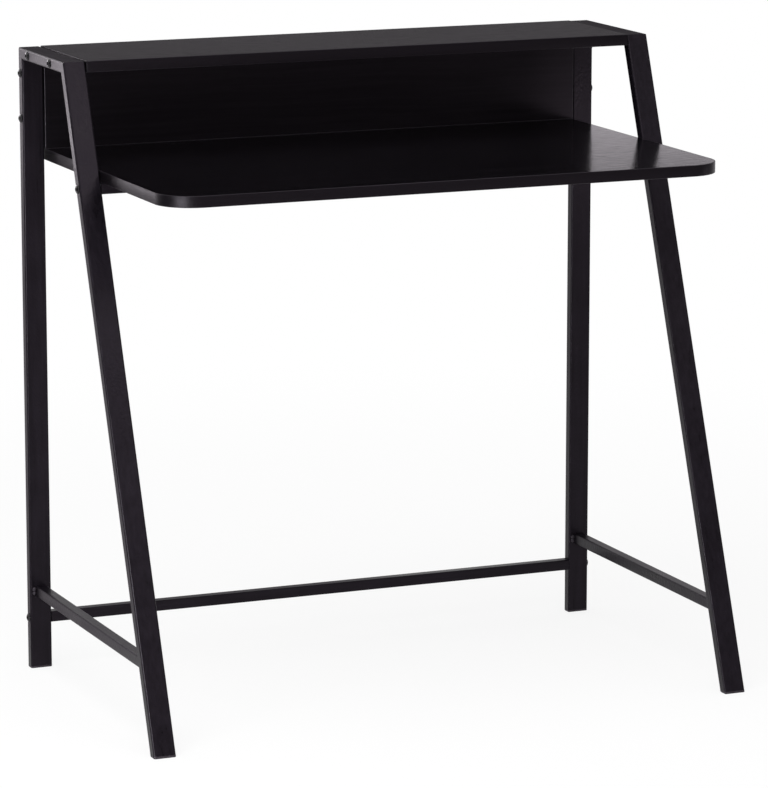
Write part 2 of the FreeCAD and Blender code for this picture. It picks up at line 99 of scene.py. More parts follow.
# Cards that only the glossy finishes see: name, two opposite corners, and how bright the foot and the
# top of each are
CARDS = (
    ("grey_card_behind_low", (-0.41, 0.32, 0.70), (1.2, 0.32, 0.845), (1.0, 0.50)),
    ("grey_card_behind", (-0.41, 0.32, 0.845), (1.2, 0.32, 2.5), (0.14, 0.14)),
    ("grey_card_rear", (0.02, 1.4, 0.1), (0.6, 1.4, 0.66), (0.40, 0.40)),
    ("grey_card_right_rear", (0.9, 1.4, 0.1), (1.35, 1.4, 0.66), (0.60, 0.60)),
    ("grey_card_far_right_rear", (1.35, 1.4, 0.1), (2.5, 1.4, 0.66), (1.2, 1.2)),
    ("grey_card_left_rear", (-3.5, 1.3, 0.002), (-0.5, 1.3, 0.9), (0.80, 0.80)),
    ("grey_card_left_floor", (-3.5, 0.26, 0.002), (-0.45, 1.3, 0.002), (0.80, 0.80)),
    ("grey_card_floor", (-6, -7, 0.002), (6, -1.2, 0.002), (0.88, 0.88)),
    ("dark_card_floor", (1.75, -6.3, 0.004), (2.75, -5.1, 0.004), (0.05, 0.05)),
    ("grey_card_front", (-6, -7, 0.002), (6, -7, 5), (0.65, 0.65)),
    ("grey_card_right", (2.6, -3, 0.002), (2.6, 1, 2.5), (0.35, 0.35)),
    ("dark_card_left", (-1.45, -0.45, 0.2), (-1.45, 0.45, 1.5), (0.05, 0.05)),
    ("bright_card_right", (2.59, 0.3, 0.002), (2.59, 1.0, 0.6), (1.2, 1.2)),
    ("bright_card_right_front", (0.66, -0.35, 0.55), (0.76, -0.35, 0.66), (7.0, 7.0)),
    ("bright_card_bolts_high", (-0.74, 0.75, 0.87), (-0.60, 0.75, 0.98), (11.0, 11.0)),
    ("bright_card_left_high", (-0.66, 0.75, 1.10), (-0.48, 0.75, 1.30), (7.0, 7.0)),
    ("bright_card_left_rear", (-1.0, 0.75, 0.60), (-0.67, 0.75, 0.87), (8.5, 4.0)),
    ("bright_card_stretcher", (-0.66, 1.28, 0.68), (-0.20, 1.28, 0.98), (2.3, 2.3)),
    ("bright_card_left_front", (-1.32, -0.67, 0.3), (-0.95, -1.05, 0.75), (25.0, 25.0)),
)

# Facets of the round shapes
CORNER_STEPS, BOARD_CORNER_STEPS, SQUARE_CORNER_STEPS = 6, 28, 3
BAND_STEPS, CROWN_STEPS, RIM_STEPS = 5, 8, 4
TURNED_SIDES, BEAD_SIDES, RINGS_PER_DROP = 48, 12, 8

# Welds: how thin a bead is between two drops, how much of its radius stands out of the corner, and
# how much of a stretcher's side and of a rail's width it runs along
BEAD_DIP, BEAD_SHOWS = 0.6, 0.7
BEAD_ON_STRETCHER, BEAD_ON_RAIL = 0.75, 0.86

# Studio: radius of the floor, where its shadow starts to fade and is gone, how strong that shadow
# is, and the light of the room
FLOOR_RADIUS = 6
SHADOW_NEAR, SHADOW_FAR, SHADOW_SHARE = 0.9, 2.4, 0.15
ROOM_LIGHT = 0.7

# Fasteners in millimetres: head radius and height, height of its rim, socket width and depth, shank
# radius and length
BOLT = (6, 3.2, 0.8, 4, 1.8, 2.85, 45)
RAIL_SCREW = (4, 2.4, 0.6, 2.5, 1.3, 2, 24)
PANEL_SCREW = (4, 2.4, 0.6, 2.5, 1.3, 2, 45)


def linear(hex_colour):
    """Linear RGBA of an sRGB colour written as #rrggbb."""
    channels = []
    for start in (1, 3, 5):
        value = int(hex_colour[start:start + 2], 16) / 255
        channels.append(value / 12.92 if value <= 0.04045 else ((value + 0.055) / 1.055) ** 2.4)
    return (*channels, 1.0)


def length(name, description, default):
    """Length property, with its default in metres."""
    return bpy.props.FloatProperty(name=name, description=description, default=default, min=0, unit="LENGTH")


def colour(name, description, default):
    """Colour property, with its default as #rrggbb."""
    return bpy.props.FloatVectorProperty(
        name=name, description=description, default=linear(default), size=4, min=0, max=1, subtype="COLOR")


class DeskSizes(bpy.types.PropertyGroup):
    """Sizes of the details that the solids leave plain."""
    band_thick: length("Edge band thickness", "How thick the band round each board is", 1 * MM)
    band_round: length("Edge band rounding", "Radius trimmed on the long edges of the band", 0.7 * MM)
    desktop_corner: length("Desktop corner", "Radius of the two front corners of the desktop", 50 * MM)
    rim_round: length("Head rim rounding", "Radius on the rim of a bolt head", 0.3 * MM)
    head_undercut: length("Head undercut", "Bevel under the rim of a bolt head", 0.4 * MM)
    socket_chamfer: length("Socket chamfer", "Width of the chamfer round a hex socket", 0.35 * MM)
    foot_round: length("Foot rounding", "Radius on the lower edge of a foot plug", 0.9 * MM)
    tube_corner: length("Tube corner", "Outside corner radius of the flat tube", 2.5 * MM)
    foot_wall: length("Foot wall", "How far the insert of a foot plug stands in from its flange", 1.4 * MM)
    foot_insert: length("Foot insert", "How far a foot plug reaches into its leg", 14 * MM)
    weld_radius: length("Weld radius", "Half the width of a weld bead", 2.7 * MM)
    weld_pitch: length("Weld pitch", "Distance from one drop of a weld to the next", 5 * MM)


class DeskColours(bpy.types.PropertyGroup):
    """Colours of the finishes."""
    paint: colour("Frame paint", "Satin black powder coat", "#131015")
    # The weld colour is lighter than the frame paint: a painted highlight on the weld beads.
    weld: colour("Weld paint", "Powder coat, greyer where it is thin on a weld", "#3a363c")
    foil_dark: colour("Foil, dark grain", "Darker streaks of the black wood print", "#070608")
    foil_light: colour("Foil, light grain", "Lighter streaks of the black wood print", "#110f12")
    band: colour("Edge band", "Black edge band", "#0a080b")
    # The band's corners are paler: partly plastic bared by scraping, partly a painted highlight along the eased
    # edges.
    arris: colour("Edge band, scraped", "Corners of the edge band, paler where they were scraped", "#252226")
    # The back panel's band corners are paler still: a painted highlight that draws a light line along the panel's
    # foot.
    panel_arris_highlight: colour("Back panel band, scraped", "Corners of the back panel's band, scraped deeper", "#4a464c")
    plastic: colour("Foot plugs", "Black moulded plastic", "#1e1b1f")
    bolt_black: colour("Bolts", "Black dip paint on steel", "#0c0a0d")
    bright_zinc: colour("Nuts", "Bright zinc plating on steel", "#b9bcc2")
    paper: colour("Studio paper", "Floor of the studio", "#f4f4f4")


# Materials

def add_node(tree, kind, inputs, **settings):
    """Add a node, set its properties, and set or link its inputs by name or number."""
    node = tree.nodes.new(kind)
    for name, value in settings.items():
        setattr(node, name, value)
    for name, value in inputs.items():
        if isinstance(value, bpy.types.NodeSocket):
            tree.links.new(value, node.inputs[name])
        else:
            node.inputs[name].default_value = value
    return node


def new_material(name):
    """Empty material with an output, and the object's own coordinates in metres."""
    material = bpy.data.materials.new(name)
    material.use_nodes = True
    tree = material.node_tree
    tree.nodes.clear()
    place = add_node(tree, "ShaderNodeTexCoord", {}).outputs["Object"]
    return material, tree, place


def finish_material(tree, shader):
    """Send a shader to the material's output."""
    add_node(tree, "ShaderNodeOutputMaterial", {"Surface": shader.outputs[0]})


def per_metre(millimetres):
    """Scale of a pattern whose features are so many millimetres apart."""
    return 1 / (millimetres * MM)


# Sizes of the patterns in the finishes, in millimetres
PEEL, GRIT, CLOUD = 4, 0.8, 60
ROLL_MARK_LONG, ROLL_MARK_WIDE = 90, 5
GRAIN_SWAY, GRAIN_LEAN = 180, 14
STREAK_LONG, STREAK_WIDE = 260, 6
PORE_LONG, PORE_WIDE = 28, 1.2
PLATE_WAVES = (18, 9, 9)
EROSION_PIT, MOULD_CLOUD = 0.7, 9
STEEL_PATCH, STEEL_NICK = 3, 0.6
PAPER_FIBRE = 2

# Plates that the boards were pressed on: how much of the relief shows, from 0 to 1, and how rough
# the pores and the ground between them are
TEXTURED_PLATE = (0.4, 0.24, 0.13)
SMOOTH_PLATE = (0.08, 0.34, 0.29)

# Mirrored light comes back faintly violet from every black finish of the desk
VIOLET_CAST = linear("#ffeeff")
VIOLET_LIGHT = linear("#fff8ff")
# The strongest card is a little green, which keeps that cast out of the highlight it makes
CARD_TINTS = {"bright_card_left_front": linear("#f5fffa")}


def powder_coated_steel(name, paint_colour, along):
    """Polyester powder coat, sprayed and baked on roll-formed steel tube."""
    # The melted powder leaves a faint orange peel, which breaks up the satin shine, and the marks
    # of the rolls show through it as streaks along the tube.
    material, tree, place = new_material(name)
    # Real peel is 1 to 2 mm across. It is drawn at 4 mm, so that it shows.
    peel = add_node(tree, "ShaderNodeTexNoise", {"Vector": place, "Scale": per_metre(PEEL), "Detail": 1.5})
    grit = add_node(tree, "ShaderNodeTexNoise", {"Vector": place, "Scale": per_metre(GRIT), "Detail": 2})
    cloud = add_node(tree, "ShaderNodeTexNoise", {"Vector": place, "Scale": per_metre(CLOUD), "Detail": 3})
    scale = [per_metre(ROLL_MARK_LONG if axis == along else ROLL_MARK_WIDE) for axis in "xyz"]
    drawn = add_node(tree, "ShaderNodeVectorMath", {0: place, 1: scale}, operation="MULTIPLY")
    marks = add_node(tree, "ShaderNodeTexNoise", {"Vector": drawn.outputs[0], "Scale": 1.0, "Detail": 1})
    mottle = add_node(tree, "ShaderNodeMath", {0: cloud.outputs["Fac"], 1: marks.outputs["Fac"]}, operation="ADD")
    shine = add_node(tree, "ShaderNodeMapRange", {
        "Value": mottle.outputs[0], "From Min": 0.7, "From Max": 1.3, "To Min": 0.27, "To Max": 0.39})
    tone = add_node(tree, "ShaderNodeMapRange", {
        "Value": mottle.outputs[0], "From Min": 0.7, "From Max": 1.3, "To Min": 0.65, "To Max": 1.35})
    paint = add_node(tree, "ShaderNodeVectorMath", {0: paint_colour[:3], "Scale": tone.outputs[0]},
                     operation="SCALE")
    bump = add_node(tree, "ShaderNodeBump", {"Height": peel.outputs["Fac"], "Strength": 0.6, "Distance": 0.5 * MM})
    fine = add_node(tree, "ShaderNodeBump", {"Height": grit.outputs["Fac"], "Strength": 0.15,
                                             "Distance": 0.03 * MM, "Normal": bump.outputs[0]})
    finish_material(tree, add_node(tree, "ShaderNodeBsdfPrincipled", {
        "Base Color": paint.outputs[0], "Roughness": shine.outputs[0], "IOR": 1.5,
        "Specular IOR Level": 0.12, "Specular Tint": VIOLET_CAST, "Normal": fine.outputs[0]}))
    return material


def wood_print(tree, place, along):
    """Streaks of printed wood grain and its pressed pores, as two values from 0 to 1."""
    # Streaks of 6 mm and pores of 1.2 mm, both many times longer than wide. Real pores are 0.3 mm
    # wide and are drawn four times as coarse, so that they show.
    sway = add_node(tree, "ShaderNodeTexNoise", {"Vector": place, "Scale": per_metre(GRAIN_SWAY), "Detail": 1})
    lean = add_node(tree, "ShaderNodeVectorMath", {0: sway.outputs["Color"], "Scale": GRAIN_LEAN * MM},
                    operation="SCALE")
    bent = add_node(tree, "ShaderNodeVectorMath", {0: place, 1: lean.outputs[0]}, operation="ADD").outputs[0]
    values = []
    for long, wide, detail in ((STREAK_LONG, STREAK_WIDE, 4), (PORE_LONG, PORE_WIDE, 2)):
        scale = [per_metre(long if axis in along else wide) for axis in "xyz"]
        streak = add_node(tree, "ShaderNodeVectorMath", {0: bent, 1: scale}, operation="MULTIPLY")
        values.append(add_node(tree, "ShaderNodeTexNoise", {
            "Vector": streak.outputs[0], "Scale": 1.0, "Detail": detail, "Roughness": 0.55}).outputs["Fac"])
    return values


def foil_faced_board(name, colours, relief, dull, glossy):
    """Chipboard faced with black wood-print melamine, pressed under a steel plate."""
    # The plate leaves the pores sunk and dull, and the ground between them satin and slightly wavy, so
    # that the grain only shows where the board mirrors something bright.
    material, tree, place = new_material(name)
    streaks, pores = wood_print(tree, place, "x")
    tone = add_node(tree, "ShaderNodeMapRange", {"Value": streaks, "From Min": 0.35, "From Max": 0.65})
    print_colour = add_node(tree, "ShaderNodeMix", {
        "Factor": tone.outputs[0], "A": colours.foil_dark, "B": colours.foil_light}, data_type="RGBA")
    sunk = add_node(tree, "ShaderNodeMapRange", {"Value": pores, "From Min": 0.36, "From Max": 0.50})
    shine = add_node(tree, "ShaderNodeMapRange", {"Value": sunk.outputs[0], "To Min": dull, "To Max": glossy})
    bump = add_node(tree, "ShaderNodeBump", {"Height": sunk.outputs[0], "Strength": relief, "Distance": 0.04 * MM})
    scale = [per_metre(wave) for wave in PLATE_WAVES]
    drawn = add_node(tree, "ShaderNodeVectorMath", {0: place, 1: scale}, operation="MULTIPLY")
    waves = add_node(tree, "ShaderNodeTexNoise", {"Vector": drawn.outputs[0], "Scale": 1.0, "Detail": 1})
    fine = add_node(tree, "ShaderNodeBump", {"Height": waves.outputs["Fac"], "Strength": relief, "Distance": 0.5 * MM,
                                             "Normal": bump.outputs[0]})
    finish_material(tree, add_node(tree, "ShaderNodeBsdfPrincipled", {
        "Base Color": print_colour.outputs["Result"], "Roughness": shine.outputs[0], "IOR": 1.5,
        "Specular IOR Level": 0.11, "Specular Tint": VIOLET_CAST, "Normal": fine.outputs[0]}))
    return material


def edge_banding(name, plastic):
    """Black ABS edge band, extruded, glued round the board, milled flush and scraped at its corners."""
    # Milling leaves it duller than the face of the board, with fine marks along its length. The paler
    # corner colour stands partly for plastic bared by scraping and partly for a painted highlight.
    material, tree, place = new_material(name)
    streaks, pores = wood_print(tree, place, "xy")
    tone = add_node(tree, "ShaderNodeMapRange", {
        "Value": streaks, "From Min": 0.3, "From Max": 0.7, "To Min": 0.8, "To Max": 1.25})
    band = add_node(tree, "ShaderNodeVectorMath", {0: plastic[:3], "Scale": tone.outputs[0]},
                    operation="SCALE")
    shine = add_node(tree, "ShaderNodeMapRange", {
        "Value": pores, "From Min": 0.3, "From Max": 0.7, "To Min": 0.34, "To Max": 0.44})
    bump = add_node(tree, "ShaderNodeBump", {"Height": pores, "Strength": 0.2, "Distance": 0.04 * MM})
    finish_material(tree, add_node(tree, "ShaderNodeBsdfPrincipled", {
        "Base Color": band.outputs[0], "Roughness": shine.outputs[0], "IOR": 1.53,
        "Specular IOR Level": 0.10, "Specular Tint": VIOLET_CAST, "Normal": bump.outputs[0]}))
    return material


def moulded_polyethylene(colours):
    """Black polyethylene, injection moulded in a spark-eroded tool."""
    # The eroded tool gives it an even, dull, leathery skin.
    material, tree, place = new_material("moulded_polyethylene")
    # Erosion pits of 0.1 mm, drawn at 0.7 mm so that they show
    pits = add_node(tree, "ShaderNodeTexVoronoi", {"Vector": place, "Scale": per_metre(EROSION_PIT)})
    cloud = add_node(tree, "ShaderNodeTexNoise", {"Vector": place, "Scale": per_metre(MOULD_CLOUD), "Detail": 2})
    shine = add_node(tree, "ShaderNodeMapRange", {
        "Value": cloud.outputs["Fac"], "From Min": 0.3, "From Max": 0.7, "To Min": 0.5, "To Max": 0.62})
    bump = add_node(tree, "ShaderNodeBump", {"Height": pits.outputs["Distance"], "Strength": 0.3,
                                             "Distance": 0.05 * MM})
    finish_material(tree, add_node(tree, "ShaderNodeBsdfPrincipled", {
        "Base Color": colours.plastic, "Roughness": shine.outputs[0], "IOR": 1.51,
        "Specular IOR Level": 0.4, "Specular Tint": VIOLET_CAST, "Normal": bump.outputs[0]}))
    return material


def dip_painted_steel(colours):
    """Cold-headed steel, dipped in black electrophoretic paint and baked."""
    # The thin glossy film keeps the nicks of the blank, and flares white where it is seen edge on.
    material, tree, place = new_material("dip_painted_steel")
    patches = add_node(tree, "ShaderNodeTexNoise", {"Vector": place, "Scale": per_metre(STEEL_PATCH), "Detail": 3})
    nicks = add_node(tree, "ShaderNodeTexNoise", {"Vector": place, "Scale": per_metre(STEEL_NICK), "Detail": 2})
    shine = add_node(tree, "ShaderNodeMapRange", {
        "Value": patches.outputs["Fac"], "From Min": 0.3, "From Max": 0.7, "To Min": 0.12, "To Max": 0.2})
    tone = add_node(tree, "ShaderNodeMapRange", {
        "Value": patches.outputs["Fac"], "From Min": 0.3, "From Max": 0.7, "To Min": 0.8, "To Max": 1.3})
    paint = add_node(tree, "ShaderNodeVectorMath", {0: colours.bolt_black[:3], "Scale": tone.outputs[0]},
                     operation="SCALE")
    bump = add_node(tree, "ShaderNodeBump", {"Height": nicks.outputs["Fac"], "Strength": 0.15, "Distance": 0.04 * MM})
    finish_material(tree, add_node(tree, "ShaderNodeBsdfPrincipled", {
        "Base Color": paint.outputs[0], "Roughness": shine.outputs[0], "IOR": 1.5, "Normal": bump.outputs[0]}))
    return material


def zinc_plated_steel(colours):
    """Cold-headed steel, zinc plated in a tumbling barrel."""
    # Tumbling dulls it in patches and leaves small nicks.
    material, tree, place = new_material("zinc_plated_steel")
    patches = add_node(tree, "ShaderNodeTexNoise", {"Vector": place, "Scale": per_metre(STEEL_PATCH), "Detail": 3})
    nicks = add_node(tree, "ShaderNodeTexNoise", {"Vector": place, "Scale": per_metre(STEEL_NICK), "Detail": 2})
    shine = add_node(tree, "ShaderNodeMapRange", {"Value": patches.outputs["Fac"], "From Min": 0.3, "From Max": 0.7,
                                                  "To Min": 0.25, "To Max": 0.4})
    tone = add_node(tree, "ShaderNodeMapRange", {
        "Value": patches.outputs["Fac"], "From Min": 0.3, "From Max": 0.7, "To Min": 1.15, "To Max": 0.85})
    metal = add_node(tree, "ShaderNodeVectorMath", {0: colours.bright_zinc[:3], "Scale": tone.outputs[0]},
                     operation="SCALE")
    bump = add_node(tree, "ShaderNodeBump", {"Height": nicks.outputs["Fac"], "Strength": 0.2, "Distance": 0.04 * MM})
    finish_material(tree, add_node(tree, "ShaderNodeBsdfPrincipled", {
        "Base Color": metal.outputs[0], "Metallic": 1.0, "Roughness": shine.outputs[0],
        "Normal": bump.outputs[0]}))
    return material


def seen_directly(tree):
    """1 for rays of the camera, of mirrors and of glass, and 0 for the light itself."""
    path = add_node(tree, "ShaderNodeLightPath", {})
    mirrored = add_node(tree, "ShaderNodeMath", {0: path.outputs["Is Camera Ray"], 1: path.outputs["Is Glossy Ray"]},
                        operation="MAXIMUM")
    return add_node(tree, "ShaderNodeMath", {0: mirrored.outputs[0], 1: path.outputs["Is Transmission Ray"]},
                    operation="MAXIMUM").outputs[0]


def studio_paper(colours):
    """Rolled background paper, lit to white, which still takes the desk's shadow."""
    material, tree, place = new_material("studio_paper")
    # Past the shadow it goes over into the white of the room
    reach = add_node(tree, "ShaderNodeVectorMath", {0: place}, operation="LENGTH").outputs["Value"]
    near = add_node(tree, "ShaderNodeMapRange", {
        "Value": reach, "From Min": SHADOW_NEAR, "From Max": SHADOW_FAR, "To Min": SHADOW_SHARE, "To Max": 0.0},
        interpolation_type="SMOOTHSTEP")
    fibre = add_node(tree, "ShaderNodeTexNoise", {"Vector": place, "Scale": per_metre(PAPER_FIBRE), "Detail": 3})
    bump = add_node(tree, "ShaderNodeBump", {"Height": fibre.outputs["Fac"], "Strength": 0.05, "Distance": 0.05 * MM})
    paper = add_node(tree, "ShaderNodeBsdfDiffuse", {"Color": colours.paper, "Normal": bump.outputs[0]})
    white = add_node(tree, "ShaderNodeEmission", {"Color": (1, 1, 1, 1), "Strength": 1.0})
    lit = add_node(tree, "ShaderNodeMath", {0: 1.0, 1: near.outputs[0]}, operation="SUBTRACT")
    share = add_node(tree, "ShaderNodeMath", {0: seen_directly(tree), 1: lit.outputs[0]}, operation="MULTIPLY")
    finish_material(tree, add_node(tree, "ShaderNodeMixShader", {
        0: share.outputs[0], 1: paper.outputs[0], 2: white.outputs[0]}))
    return material


# Mesh building

def rounded_rectangle(half_x, half_y, radius):
    """Points round a rectangle with rounded corners."""
    points = []
    for quarter, (x, y) in enumerate(((1, 1), (-1, 1), (-1, -1), (1, -1))):
        for step in range(CORNER_STEPS + 1):
            angle = math.pi / 2 * (quarter + step / CORNER_STEPS)
            points.append((x * (half_x - radius) + radius * math.cos(angle),
                           y * (half_y - radius) + radius * math.sin(angle)))
    return points


def skin(bm, rings, closed=False):
    """Join rings of points, each with the same number, into one surface."""
    made = [[bm.verts.new(point) for point in ring] for ring in rings]
    count = len(made[0])
    pairs = list(zip(made, made[1:] + made[:1])) if closed else list(zip(made, made[1:]))
    for first, second in pairs:
        for index in range(count):
            after = (index + 1) % count
            bm.faces.new((first[index], first[after], second[after], second[index]))
    if not closed:
        bm.faces.new(reversed(made[0]))
        bm.faces.new(made[-1])


def new_object(name, bm, materials, slot, *replaced):
    """Turn a mesh into a piece that rides on the desk and stands for its CAD nodes."""
    bmesh.ops.recalc_face_normals(bm, faces=bm.faces)
    mesh = bpy.data.meshes.new(name)
    bm.to_mesh(mesh)
    bm.free()
    mesh.shade_smooth()
    mesh.set_sharp_from_angle(angle=math.radians(40))
    for material in materials:
        mesh.materials.append(material)
    piece = bpy.data.objects.new(name, mesh)
    bpy.context.scene.collection.objects.link(piece)
    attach(piece, "root")
    if replaced:
        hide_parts(*replaced)


def coat(material, *names):
    """Give CAD nodes a finish."""
    for name in names:
        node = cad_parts[name]
        for index in range(len(node.material_slots)):
            node.material_slots[index].material = material


def band_outline(low, high, round_corner, thick):
    """Round a board: points on its edge and the directions outward from it."""
    outline = []
    corners = ((high[0], high[1], 0), (low[0], high[1], 0), (low[0], low[1], round_corner),
               (high[0], low[1], round_corner))
    for quarter, (x, y, radius) in enumerate(corners):
        count = BOARD_CORNER_STEPS if radius > 0 else SQUARE_CORNER_STEPS
        inner = max(radius - thick, 0)
        toward = (math.cos(math.radians(45 + 90 * quarter)), math.sin(math.radians(45 + 90 * quarter)))
        inset = thick + inner
        middle = (x - math.copysign(inset, toward[0]), y - math.copysign(inset, toward[1]))
        for step in range(count + 1):
            angle = math.radians(90 * (quarter + step / count))
            out = (math.cos(angle), math.sin(angle))
            outline.append(((middle[0] + inner * out[0], middle[1] + inner * out[1]), out))
    return outline


def band_section(thick, tall, radius):
    """Points round the section of an edge band (outward, up), with eased outer edges."""
    section = [(0, 0), (0, tall)]
    for low, start in ((tall - radius, 90), (radius, 0)):
        for step in range(BAND_STEPS + 1):
            angle = math.radians(start - 90 * step / BAND_STEPS)
            section.append((thick - radius + radius * math.cos(angle), low + radius * math.sin(angle)))
    return section


def head_profile(fastener, sizes):
    """Radii and distances along the axis of a button head and its shank, from the socket's floor."""
    head, tall, rim_tall, across, deep, shank, reach = (value * MM for value in fastener)
    dome = tall - rim_tall
    sphere = (head ** 2 + dome ** 2) / (2 * dome)
    lip = across / math.sqrt(3) + sizes.socket_chamfer
    rim = sizes.rim_round

    def crown(radius):
        return sphere - tall - math.sqrt(sphere ** 2 - radius ** 2)

    profile = [(None, deep - tall), (None, crown(lip) + sizes.socket_chamfer)]
    for step in range(CROWN_STEPS + 1):
        radius = lip + (head - rim - lip) * step / CROWN_STEPS
        profile.append((radius, crown(radius)))
    for step in range(1, RIM_STEPS + 1):
        turn = math.pi / 2 * step / RIM_STEPS
        profile.append((head - rim + rim * math.sin(turn), crown(head - rim) + rim * (1 - math.cos(turn))))
    # The rim is undercut, which leaves a dark line round it
    under = sizes.head_undercut
    return profile + [(head, -under), (head - under, 0), (shank, 0), (shank, reach - shank / 4),
                      (shank * 0.75, reach)]


def turned_fastener(bm, place, inward, fastener, sizes):
    """Button head with a hex socket, its seat at a place, and a shank that points inward."""
    across = fastener[3] * MM
    axis = Vector(inward)
    side = Vector((0, 1, 0))
    up = axis.cross(side)
    rings = []
    for radius, out in head_profile(fastener, sizes):
        ring = []
        for angle in (2 * math.pi * step / TURNED_SIDES for step in range(TURNED_SIDES)):
            reach = radius or across / 2 / math.cos(angle % (math.pi / 3) - math.pi / 6)
            ring.append(Vector(place) + axis * out
                        + side * (reach * math.cos(angle)) + up * (reach * math.sin(angle)))
        rings.append(ring)
    skin(bm, rings)


def scrape_and_highlight_corners(bm, axis, base, tall, sizes):
    """Give the eased corners of an edge band the second material."""
    for face in bm.faces:
        middle = face.calc_center_median()[axis] - base
        if min(middle, tall - middle) < sizes.band_round and max(vert.co[axis] for vert in face.verts) \
                - min(vert.co[axis] for vert in face.verts) > 0.01 * MM:
            face.material_index = 1


def weld_bead(bm, start, end, radius, pitch):
    """Bead of weld drops between two points, in the corner of two tubes."""
    start, end = Vector(start), Vector(end)
    run = (end - start).length
    along = (end - start).normalized()
    side = along.orthogonal().normalized()
    up = along.cross(side)
    drops = round(run / pitch)
    count = drops * RINGS_PER_DROP
    rings = []
    for step in range(count + 1):
        share = step / count
        ripple = BEAD_DIP + (1 - BEAD_DIP) * abs(math.sin(math.pi * share * drops))
        # Each end is thinner over the last tenth of the run
        taper = min(1, 6 * min(share, 1 - share) + 0.35)
        reach = radius * ripple * taper
        middle = start + along * (run * share)
        rings.append([middle + side * (reach * math.cos(turn)) + up * (reach * math.sin(turn))
                      for turn in (2 * math.pi * index / BEAD_SIDES for index in range(BEAD_SIDES))])
    skin(bm, rings)


def front_leg_y(height, depth=0):
    """Y of the front leg's front face at a height, or of a line a depth behind it."""
    return REAR_Y - RAIL_DEPTH - SPLAY * (FRAME_HEIGHT - height) + SLANT * depth


# Operators

class DESK_OT_coat_frames(bpy.types.Operator):
    """Powder coat the tubes of the two frames and the two cross rails"""
    bl_idname = "desk.coat_frames"
    bl_label = "Frames"

    def execute(self, context):
        runs = (("upright", "z", [f"{hand}_{tube}" for hand, side in SIDES for tube in ("rear_leg", "front_leg")]),
                ("deep", "y", [f"{hand}_{tube}" for hand, side in SIDES for tube in ("top_rail", "side_stretcher")]),
                ("across", "x", ["rear_stretcher", "desktop_support_rail"]))
        for run, along, tubes in runs:
            coat(powder_coated_steel(f"powder_coated_{run}", context.scene.desk_colours.paint, along), *tubes)
        return {"FINISHED"}


class DESK_OT_weld_frames(bpy.types.Operator):
    """Weld beads where the tubes of a frame meet"""
    bl_idname = "desk.weld_frames"
    bl_label = "Welds"

    def execute(self, context):
        sizes = context.scene.desk_sizes
        # The lighter paint of the beads is a painted highlight.
        paint = powder_coated_steel("powder_coated_weld_painted_highlight", context.scene.desk_colours.weld, "z")
        low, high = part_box("left_side_stretcher")
        beside = (high.x - low.x) / 2 + sizes.weld_radius * BEAD_SHOWS
        middle_z = (low.z + high.z) / 2
        half = (high.z - low.z) / 2 * BEAD_ON_STRETCHER
        under = FRAME_HEIGHT - TUBE_DEEP
        across = TUBE_WIDE / 2 * BEAD_ON_RAIL
        for hand, side in SIDES:
            bm = bmesh.new()
            middle_x = side * TUBE_MIDDLE_X
            for edge in (-beside, beside):
                for slope, face in ((0, REAR_Y - TUBE_DEEP), (SPLAY, front_leg_y(middle_z, TUBE_DEEP))):
                    ends = [(middle_x + edge, face + slope * rise, middle_z + rise) for rise in (-half, half)]
                    weld_bead(bm, *ends, sizes.weld_radius, sizes.weld_pitch)
            for y in (REAR_Y - TUBE_DEEP, front_leg_y(under, TUBE_DEEP)):
                weld_bead(bm, (middle_x - across, y, under), (middle_x + across, y, under),
                          sizes.weld_radius * BEAD_SHOWS, sizes.weld_pitch)
            new_object(f"{hand}_frame_welds", bm, [paint], "frame_paint")
        return {"FINISHED"}


class DESK_OT_face_boards(bpy.types.Operator):
    """Face the desktop, the shelf and the back panel"""
    bl_idname = "desk.face_boards"
    bl_label = "Boards"

    def execute(self, context):
        colours = context.scene.desk_colours
        coat(foil_faced_board("textured_melamine", colours, *TEXTURED_PLATE), "desktop_board", "shelf_board")
        coat(foil_faced_board("smooth_melamine", colours, *SMOOTH_PLATE), "back_panel")
        return {"FINISHED"}


class DESK_OT_band_edges(bpy.types.Operator):
    """Edge band with eased corners round each board"""
    bl_idname = "desk.band_edges"
    bl_label = "Edge bands"

    def execute(self, context):
        sizes, colours = context.scene.desk_sizes, context.scene.desk_colours
        milled = edge_banding("milled_abs", colours.band)
        # Paler corners: partly scraped plastic, partly a painted highlight along the eased edges.
        scraped = edge_banding("scraped_abs_with_painted_highlight", colours.arris)
        # The back panel's band corners get a painted highlight, which draws the light line at the panel's foot.
        panel_band_highlight = edge_banding("abs_with_painted_highlight", colours.panel_arris_highlight)
        # The third number of each is the axis across the board's thickness
        boards = (("desktop", (0, 1, 2), sizes.desktop_corner, scraped), ("shelf", (0, 1, 2), 0, scraped),
                  ("back_panel", (0, 2, 1), 0, panel_band_highlight))
        for board, axes, corner, corners in boards:
            low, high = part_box(f"{board}_edge_band")
            outline = band_outline([low[axis] for axis in axes[:2]], [high[axis] for axis in axes[:2]],
                                   corner, sizes.band_thick)
            base, tall = low[axes[2]], high[axes[2]] - low[axes[2]]
            section = band_section(sizes.band_thick, tall, sizes.band_round)
            rings = []
            for (x, y), (out_x, out_y) in outline:
                ring = []
                for outward, up in section:
                    point = [0, 0, 0]
                    for axis, value in zip(axes, (x + out_x * outward, y + out_y * outward, base + up)):
                        point[axis] = value
                    ring.append(point)
                rings.append(ring)
            bm = bmesh.new()
            skin(bm, rings, closed=True)
            scrape_and_highlight_corners(bm, axes[2], base, tall, sizes)
            new_object(f"{board}_band", bm, [milled, corners], "edge_band", f"{board}_edge_band")
        return {"FINISHED"}


